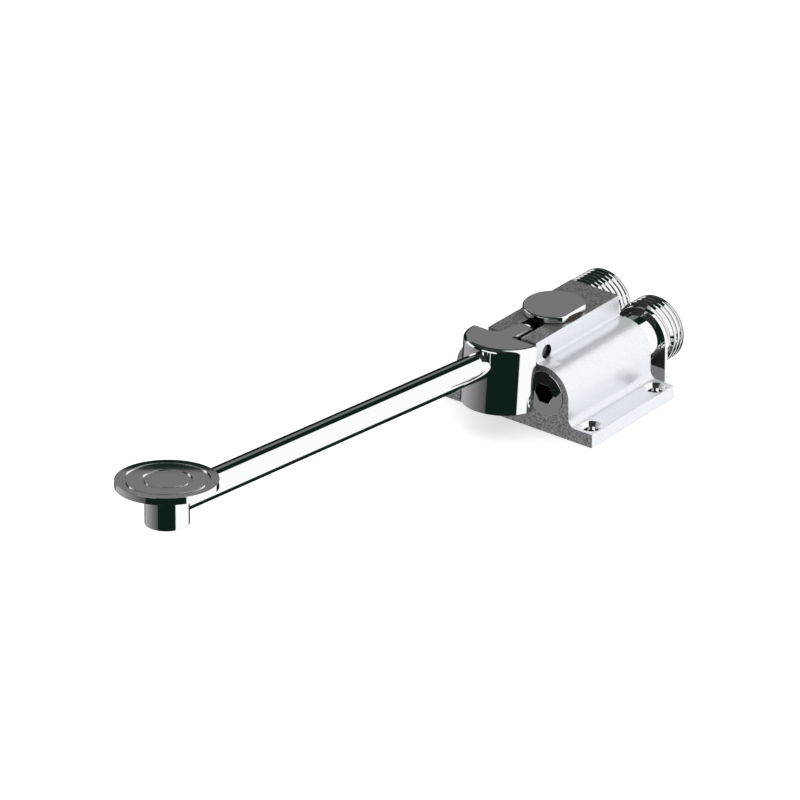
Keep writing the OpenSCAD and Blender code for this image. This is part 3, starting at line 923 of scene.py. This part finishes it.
@dataclass
class Connection:
    """A threaded pipe connection with the spacer sleeve round its neck.

    Its radii end in _r and its lengths in _l. The nipple is in the body, the mouth at the rear.

    Attributes:
        side: the water side.
        ridges: the tree that makes the thread's ridge.
        turns: length of the thread in pitches.
        start_share: share of a turn that is left out before the ridge starts.
        base_share: width of the ridge's foot, as a share of the pitch.
        crest_share: width of the ridge's crest, as a share of the pitch.
        collar: length behind the ridge that has the thread's full radius.
        mouth_step: distance of the mouth's ground from the thread's start.
    """

    side: Side
    ridges: RidgeTree
    turns: int
    nipple_l: float = 8 * MM
    nipple_r: float = 7.36 * MM
    neck_r: float = 6.6 * MM
    neck_l: float = 8.5 * MM
    thread_r: float = 10.4775 * MM
    thread_depth: float = 1.16 * MM
    thread_pitch: float = 1.814 * MM
    thread_end: float = 0.35 * MM
    start_share: float = 0.25
    base_share: float = 0.93
    crest_share: float = 0.2
    crest_edge: float = 0.2 * MM
    collar: float = 0.65 * MM
    bore_r: float = 5 * MM
    mouth_r: float = 7.25 * MM
    mouth_step: float = 1.6 * MM
    edge: float = 0.25 * MM
    sleeve_r: float = 8 * MM
    sleeve_gap: float = 0.04 * MM

    @property
    def thread_start(self) -> float:
        """Distance of the thread's start from the connection's front end."""
        return self.nipple_l + self.neck_l

    @property
    def root_r(self) -> float:
        """Radius of the core under the ridge."""
        return self.thread_r - self.thread_depth

    def core_outline(self) -> list[Point2]:
        """The turned blank: nipple, neck, thread core and bore.

        Returns:
            The closed outline as (radius, height).
        """
        start = self.thread_start
        total = start + self.turns * self.thread_pitch + self.thread_end
        mouth = start + self.mouth_step
        return rounded_loop([
            (self.bore_r, 0.0), (self.nipple_r, 0.0), (self.nipple_r, self.nipple_l),
            (self.neck_r, self.nipple_l), (self.neck_r, start), (self.root_r, start),
            (self.root_r, total - self.collar - self.thread_depth / 2),
            (self.thread_r, total - self.collar), (self.thread_r, total - self.thread_end),
            (self.thread_r - self.thread_end, total), (self.mouth_r, total),
            (self.mouth_r, mouth), (self.bore_r, mouth - (self.mouth_r - self.bore_r) / 2),
        ], self.edge)

    def build(self) -> None:
        """Makes the connection and its sleeve."""
        node = f"connector_{self.side.value}"
        place = passage_frame(node)
        core = lathe(f"{node}_shown", self.core_outline(), place, closed=True)
        ridge = self.ridges.ridge(f"{node}_ridge", {
            "Helix Radius": self.root_r, "Pitch": self.thread_pitch,
            "Turns": self.turns - self.start_share,
            "Base Width": self.thread_pitch * self.base_share,
            "Crest Width": self.thread_pitch * self.crest_share, "Depth": self.thread_depth,
            "Start Height": self.thread_start + self.thread_pitch * self.start_share,
            "Edge Radius": self.crest_edge,
        }, CHROME)
        ridge.transform(place)
        face_outwards(ridge)
        shade(ridge, SHARP_SWEPT)
        with edited(core.data) as work:
            work.from_mesh(ridge)
        bpy.data.meshes.remove(ridge)
        dress(core, Slot.CHROME, Body.HOUSING, node)
        self.build_sleeve()

    def build_sleeve(self) -> None:
        """Makes the spacer sleeve behind the body."""
        node = f"spacer_sleeve_{self.side.value}"
        low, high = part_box(node)
        length = high.y - low.y
        inner = self.neck_r + self.sleeve_gap
        outline = rounded_loop([(inner, 0.0), (self.sleeve_r, 0.0), (self.sleeve_r, length),
                                (inner, length)], self.edge)
        dress(lathe(f"{node}_shown", outline, passage_frame(node), closed=True), Slot.CHROME,
              Body.HOUSING, node)


@dataclass
class Housing:
    """The extruded body with its plugs, cap, rear plate and pivot pin.

    Attributes:
        edge: width of the bevels on the larger pieces.
    """

    frame: dict
    edge: float = 0.12 * MM

    def build(self) -> None:
        """Makes the housing's shown pieces."""
        for node, slot, edge, finish in (
            ("valve_body", Slot.SATIN, self.edge, None),
            ("rear_plate", Slot.CHROME, self.edge, None),
            ("bonnet_cap", Slot.CHROME, self.edge, None),
            ("front_plug_right", Slot.CHROME, self.edge, SOCKET_CHROME),
            ("front_plug_left", Slot.CHROME, self.edge, SOCKET_CHROME),
            ("pivot_pin", Slot.STEEL, 0.0, None),
            ("bonnet_seal", Slot.FIBRE, 0.0, None),
        ):
            dressed_copy(self.frame, node, slot, Body.HOUSING, edge, finish=finish)


@dataclass
class PedalLever:
    """The lever head with its rod, boss and round pedal plate.

    Attributes:
        head_back_y: place along Y of the start of the rod's axis, at the head's back.
        rod_z: height of that point.
        rod_tilt: angle by which the rod rises towards the pedal.
        rod_reach: distance along the rod to the pedal's axis.
        rod_root: distance along the rod at which it starts inside the head.
        rod_end: how far the rod runs past the pedal's axis.
        boss_top: height of the boss's top over the rod's axis.
        boss_drop: depth of the boss's end under the rod's axis.
        pedal_roll: turn of the pedal round the rod.
    """

    frame: dict
    head_edge: float = 0.2 * MM
    head_segments: int = 3
    head_back_y: float = -25.15 * MM
    rod_z: float = 23.75 * MM
    rod_tilt: float = math.radians(5.5)
    rod_reach: float = 154.3 * MM
    rod_r: float = 4.2 * MM
    rod_root: float = 2.45 * MM
    rod_end: float = 4.4 * MM
    boss_r: float = 6.4 * MM
    boss_top: float = 5.3 * MM
    boss_drop: float = 6 * MM
    pedal_roll: float = math.radians(3.3)
    plate_r: float = 14.75 * MM
    plate_t: float = 2.1 * MM
    plate_segments: int = 192
    groove_radii: tuple[float, ...] = (6.85 * MM, 12 * MM)
    groove_w: float = 0.8 * MM
    groove_depth: float = 0.4 * MM
    groove_edge: float = 0.04 * MM
    edge: float = 0.35 * MM

    def rod_frame(self, along: float) -> Matrix:
        """The rod's frame at a distance from the head's back, with -Y along the rod.

        Args:
            along: distance along the rod.

        Returns:
            The frame as a matrix.
        """
        return (Matrix.Translation((0.0, self.head_back_y, self.rod_z))
                @ Matrix.Rotation(-self.rod_tilt, 4, "X")
                @ Matrix.Translation((0.0, -along, 0.0)))

    @property
    def pedal_frame(self) -> Matrix:
        """The pedal's frame on the rod's axis, with Z away from the rod."""
        return self.rod_frame(self.rod_reach) @ Matrix.Rotation(-self.pedal_roll, 4, "Y")

    def build(self) -> None:
        """Makes the lever's shown pieces."""
        dressed_copy(self.frame, "lever_head", Slot.CHROME, Body.LEVER, self.head_edge,
                     self.head_segments, HEAD_CHROME)
        self.build_rod()
        self.build_boss()
        self.build_plate()

    def build_rod(self) -> None:
        """Makes the pedal rod, plain outside."""
        length = self.rod_reach + self.rod_end - self.rod_root
        place = self.rod_frame(self.rod_root) @ Matrix.Rotation(math.radians(90), 4, "X")
        points = [(0.0, 0.0), (self.rod_r, 0.0), (self.rod_r, length), (0.0, length)]
        rod = lathe("pedal_rod_shown", rounded(points, self.edge), place)
        dress(rod, Slot.CHROME, Body.LEVER, "pedal_rod")

    def build_boss(self) -> None:
        """Makes the boss under the pedal plate, whose upper edge stays sharp."""
        points = [(0.0, -self.boss_drop), (self.boss_r, -self.boss_drop),
                  (self.boss_r, self.boss_top), (0.0, self.boss_top)]
        boss = lathe("pedal_boss_shown", rounded(points, self.edge, keep=[2]), self.pedal_frame)
        dress(boss, Slot.CHROME, Body.LEVER, "pedal_boss")

    def build_plate(self) -> None:
        """Makes the pedal plate with its two ring grooves."""
        under = self.boss_top
        top = under + self.plate_t
        points: list[Point2] = [(0.0, under), (self.plate_r, under), (self.plate_r, top)]
        for radius in reversed(self.groove_radii):
            outer, inner = radius + self.groove_w / 2, radius - self.groove_w / 2
            ground = top - self.groove_depth
            points += [(outer, top), (outer, ground), (inner, ground), (inner, top)]
        points.append((0.0, top))
        plate = lathe("pedal_plate_shown", rounded(points, self.groove_edge), self.pedal_frame,
                      self.plate_segments)
        dress(plate, Slot.CHROME, Body.LEVER, "pedal_plate")


@dataclass
class InnerWorks:
    """The pieces inside the valve, whose CAD shapes are right as they are.

    Attributes:
        spring_top: height of the spring's fixed end; not used.
        stroke: how far the stem rises at the joint's limit; not used.
        slots: the nodes that show their CAD shapes, by material slot.
    """

    frame: dict
    spring_top: float = 19.8 * MM
    stroke: float = 1.9 * MM
    slots: dict[Slot, tuple[str, ...]] = field(default_factory=lambda: {
        Slot.RUBBER: ("plug_seal_right", "plug_seal_left", "connector_seal_right",
                      "connector_seal_left", "gland_o_ring", "stem_o_ring", "seat_washer"),
        Slot.BRASS: ("valve_seat", "gland_bush", "washer_screw"),
        Slot.STEEL: ("valve_stem", "lift_washer", "stem_nut", "rod_grub_screw"),
    })

    def build(self) -> None:
        """Makes the spring and gives each other node its finish."""
        self.build_spring()
        for slot, nodes in self.slots.items():
            finish = FINISH_OF[slot].material()
            for node in nodes:
                materials = self.frame["nodes"][node].data.materials
                if not materials:
                    materials.append(finish)
                for index in range(len(materials)):
                    materials[index] = finish
                LOG.info("%s: CAD shape in %s", node, finish.name)

    def build_spring(self) -> None:
        """Makes the valve spring from a copy of its CAD shape."""
        node = "valve_spring"
        spring = dressed_copy(self.frame, node, Slot.STEEL, Body.HOUSING)
        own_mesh(spring)


# The studio


class Edge(NamedTuple):
    """A soft step from 0 to 1 over an angle in degrees; with a negative width it falls.

    Attributes:
        middle: the middle of the step.
        width: the width of the step.
    """

    middle: float
    width: float

    def step(self, pen: TreePen, angle: Socket) -> Socket:
        """Adds the step to a tree.

        Args:
            pen: the tree.
            angle: the angle in degrees.

        Returns:
            The step's socket.
        """
        return pen.maths("MULTIPLY_ADD", angle, 1.0 / self.width,
                         0.5 - self.middle / self.width, clamp=True)


WHITE: Colour = (1.0, 1.0, 1.0)
PANEL: Colour = (0.005, 0.014, 0.011)
GREY: Colour = (0.183, 0.183, 0.183 * 1.02)
DIM: Colour = (0.03, 0.034, 0.034)
# What the metal shows by compass direction, in degrees from -Y towards +X; the front of the two
# lowest bands is a wall that fades from pale to dark
FRONT: Stops = (
    (-180, PANEL), (-116, (0.01, 0.012, 0.012)), (-102, (0.4, 0.39, 0.41)),
    (-80, (0.36, 0.35, 0.37)), (-45, (0.22, 0.215, 0.225)), (-6, (0.08, 0.08, 0.082)),
    (-4.5, PANEL), (82, PANEL), (83.5, WHITE),
)
FOOT: Stops = (*FRONT, (156, WHITE), (158.5, PANEL), (180, PANEL))
LOW: Stops = (*FRONT, (178, WHITE), (180, PANEL))
LEVEL: Stops = (
    (-180, GREY), (-130, GREY), (-126, PANEL), (-92, PANEL), (-88, WHITE), (-56, WHITE),
    (-52, PANEL), (-26, PANEL), (-23, WHITE), (16, WHITE), (19, PANEL), (78, PANEL),
    (81, WHITE), (172, WHITE), (176, GREY), (180, GREY),
)
SKY: Stops = (
    (-180, PANEL), (-154, PANEL), (-150, GREY), (-100, GREY), (-85, PANEL), (78, PANEL),
    (81, WHITE), (175, WHITE), (177, PANEL), (180, PANEL),
)
ROOF: Stops = (
    (-180, PANEL), (-150, PANEL), (-110, DIM), (78, DIM), (81, WHITE), (175, WHITE),
    (177, PANEL), (180, PANEL),
)
# Heights between the bands, in degrees over the horizon
FOOT_EDGE = Edge(-37.0, -3.0)
LEVEL_EDGE = Edge(-14.0, 1.5)
SKY_EDGE = Edge(20.5, 2.0)
ROOF_EDGE = Edge(36.0, 6.0)
# A dark panel low on the left rear, whose upper edge shows across the pedal
PATCH_LEFT = Edge(-143.5, 1.0)
PATCH_RIGHT = Edge(-130.0, -1.0)
PATCH_TOP = Edge(15.22, -0.02)


@dataclass
class Studio:
    """The floor, the surroundings, the lamps and the camera.

    Attributes:
        target: the point that camera and lamps are set by, on the floor at the body's front.
        toward_camera: direction from the target to the camera.
        right: the picture's direction to the right.
        up: the picture's direction upwards.
        distance: distance of the camera from the target.
        lens: focal length in millimetres, as is the sensor's width.
        frame_right: how far right of the target the picture's middle lies.
        frame_up: how far above the target the picture's middle lies.
        floor_glow: how much the floor is brightened for the eye alone.
        sky_level: strength of the surroundings' light on the object.
    """

    target: Point3 = (0.0, -20.75 * MM, 0.0)
    toward_camera: Point3 = (0.5427, -0.7029, 0.4599)
    right: Point3 = (0.7916, 0.6111, 0.0)
    up: Point3 = (-0.2810, 0.3641, 0.8880)
    distance: float = 1.665
    lens: float = 247.3
    sensor: float = 36.0
    sight: float = 20.0
    frame_right: float = -34.05 * MM
    frame_up: float = 6.18 * MM
    floor_size: float = 6.0
    floor_colour: Colour = (0.9, 0.9, 0.9)
    floor_glow: float = 0.4
    sky_level: float = 0.95

    def build(self) -> None:
        """Makes the whole studio."""
        bpy.context.scene.view_settings.view_transform = "Standard"
        self.build_floor()
        self.build_surroundings()
        self.build_lamps()
        self.build_camera()

    def build_floor(self) -> None:
        """Makes the pale floor, which keeps the shadow but isn't seen in the metal."""
        half = self.floor_size / 2
        mesh = bpy.data.meshes.new("floor")
        mesh.from_pydata([(-half, -half, 0), (half, -half, 0), (half, half, 0), (-half, half, 0)],
                         [], [(0, 1, 2, 3)])
        material = bpy.data.materials.new("pale_floor")
        material.use_nodes = True
        pen = TreePen(material.node_tree)
        seen, mirrored = pen.rays()
        plain = pen.node("ShaderNodeBsdfDiffuse", {"Color": (*self.floor_colour, 1.0)})
        glow = pen.node("ShaderNodeEmission", {
            "Color": (*WHITE, 1.0), "Strength": pen.maths("MULTIPLY", seen, self.floor_glow),
        })
        pale = pen.node("ShaderNodeAddShader", {
            0: plain.outputs["BSDF"], 1: glow.outputs["Emission"],
        })
        clear = pen.node("ShaderNodeBsdfTransparent")
        pen.node("ShaderNodeOutputMaterial", {
            "Surface": pen.mixed(mirrored, pale.outputs["Shader"], clear.outputs["BSDF"]),
        })
        mesh.materials.append(material)
        new_object("floor", mesh)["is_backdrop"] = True

    def build_surroundings(self) -> None:
        """Makes the world: white to the eye, with the studio's dark panels in the metal."""
        world = bpy.data.worlds.new("studio")
        bpy.context.scene.world = world
        world.use_nodes = True
        pen = TreePen(world.node_tree)
        seen, mirrored = pen.rays()
        full = pen.maths("MAXIMUM", seen, mirrored)
        background = pen.node("ShaderNodeBackground", {
            "Color": pen.blend(mirrored, (*WHITE, 1.0), self.reflected(pen)),
            "Strength": pen.maths("MULTIPLY_ADD", full, 1.0 - self.sky_level, self.sky_level),
        })
        pen.node("ShaderNodeOutputWorld", {"Surface": background.outputs["Background"]})

    @staticmethod
    def reflected(pen: TreePen) -> Socket:
        """Adds what the metal shows: panels by compass direction and height.

        Args:
            pen: the world's tree.

        Returns:
            The colour's socket.
        """
        x, y, z = pen.parts(pen.node("ShaderNodeTexCoord").outputs["Generated"])
        turn = pen.maths("ARCTAN2", x, pen.maths("MULTIPLY", y, -1.0))
        degrees = pen.maths("MULTIPLY", turn, DEGREES_PER_RADIAN)
        height = pen.maths("MULTIPLY", pen.maths("ARCSINE", z), DEGREES_PER_RADIAN)
        # The ramps run from 0 at -180 degrees to 1 at 180 degrees
        compass = pen.maths("MULTIPLY_ADD", turn, 0.5 / math.pi, 0.5)
        foot, low, level, sky, roof = (
            pen.ramp(compass, [(angle / 360 + 0.5, colour) for angle, colour in stops])
            for stops in (FOOT, LOW, LEVEL, SKY, ROOF))
        low = pen.blend(FOOT_EDGE.step(pen, height), low, foot)
        walls = pen.blend(LEVEL_EDGE.step(pen, height), low, level)
        above = pen.blend(ROOF_EDGE.step(pen, height), sky, roof)
        around = pen.blend(SKY_EDGE.step(pen, height), walls, above)
        patch = pen.both(
            pen.both(PATCH_LEFT.step(pen, degrees), PATCH_RIGHT.step(pen, degrees)),
            PATCH_TOP.step(pen, height))
        return pen.blend(patch, around, (*PANEL, 1.0))

    def build_lamps(self) -> None:
        """Makes the soft lamps, which are aimed at the valve."""
        for name, spot, size, power in (
            ("key", Vector((0.9, -0.35, 1.0)), 0.7, 2.2),
            ("fill", Vector((-0.7, -1.0, 0.8)), 0.9, 1.0),
        ):
            lamp = bpy.data.lights.new(name, "AREA")
            lamp.size = size
            lamp.energy = power
            obj = new_object(name, lamp)
            obj.location = spot
            obj.rotation_euler = (Vector(self.target) - spot).to_track_quat("-Z", "Y").to_euler()
            obj.visible_glossy = False

    def build_camera(self) -> None:
        """Makes the camera at the photograph's viewing angle."""
        target, toward = Vector(self.target), Vector(self.toward_camera)
        right, up = Vector(self.right), Vector(self.up)
        camera = bpy.data.cameras.new("camera")
        camera.lens = self.lens
        camera.sensor_width = self.sensor
        camera.clip_end = self.sight
        aim = target + right * self.frame_right + up * self.frame_up
        spot = target + toward.normalized() * self.distance
        level = Matrix((right, up, toward)).transposed().to_quaternion()
        swing = (-toward).rotation_difference(aim - spot)
        obj = new_object("camera", camera)
        obj.location = spot
        obj.rotation_euler = (swing @ level).to_euler()
        bpy.context.scene.camera = obj


def write_sizes(after: object) -> None:
    """Takes the dressed model's box, but nothing is written.

    Args:
        after: the box just before the end; not used.
    """
    def plain(box: object) -> list[list[float]]:
        """Turns a box into plain lists of numbers."""
        return [[float(value) for value in corner] for corner in box]


def main() -> None:
    """Builds the dressed valve and its studio."""
    logging.basicConfig(level=logging.INFO, format="%(message)s")
    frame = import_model()
    ridges = RidgeTree()
    builders: list[Callable[[], None]] = [
        Housing(frame).build,
        Connection(Side.RIGHT, ridges, turns=4).build,
        Connection(Side.LEFT, ridges, turns=7).build,
        PedalLever(frame).build,
        InnerWorks(frame).build,
        Studio().build,
    ]
    for build in builders:
        build()
    write_sizes(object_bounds())


if __name__ == "__main__":
    main()
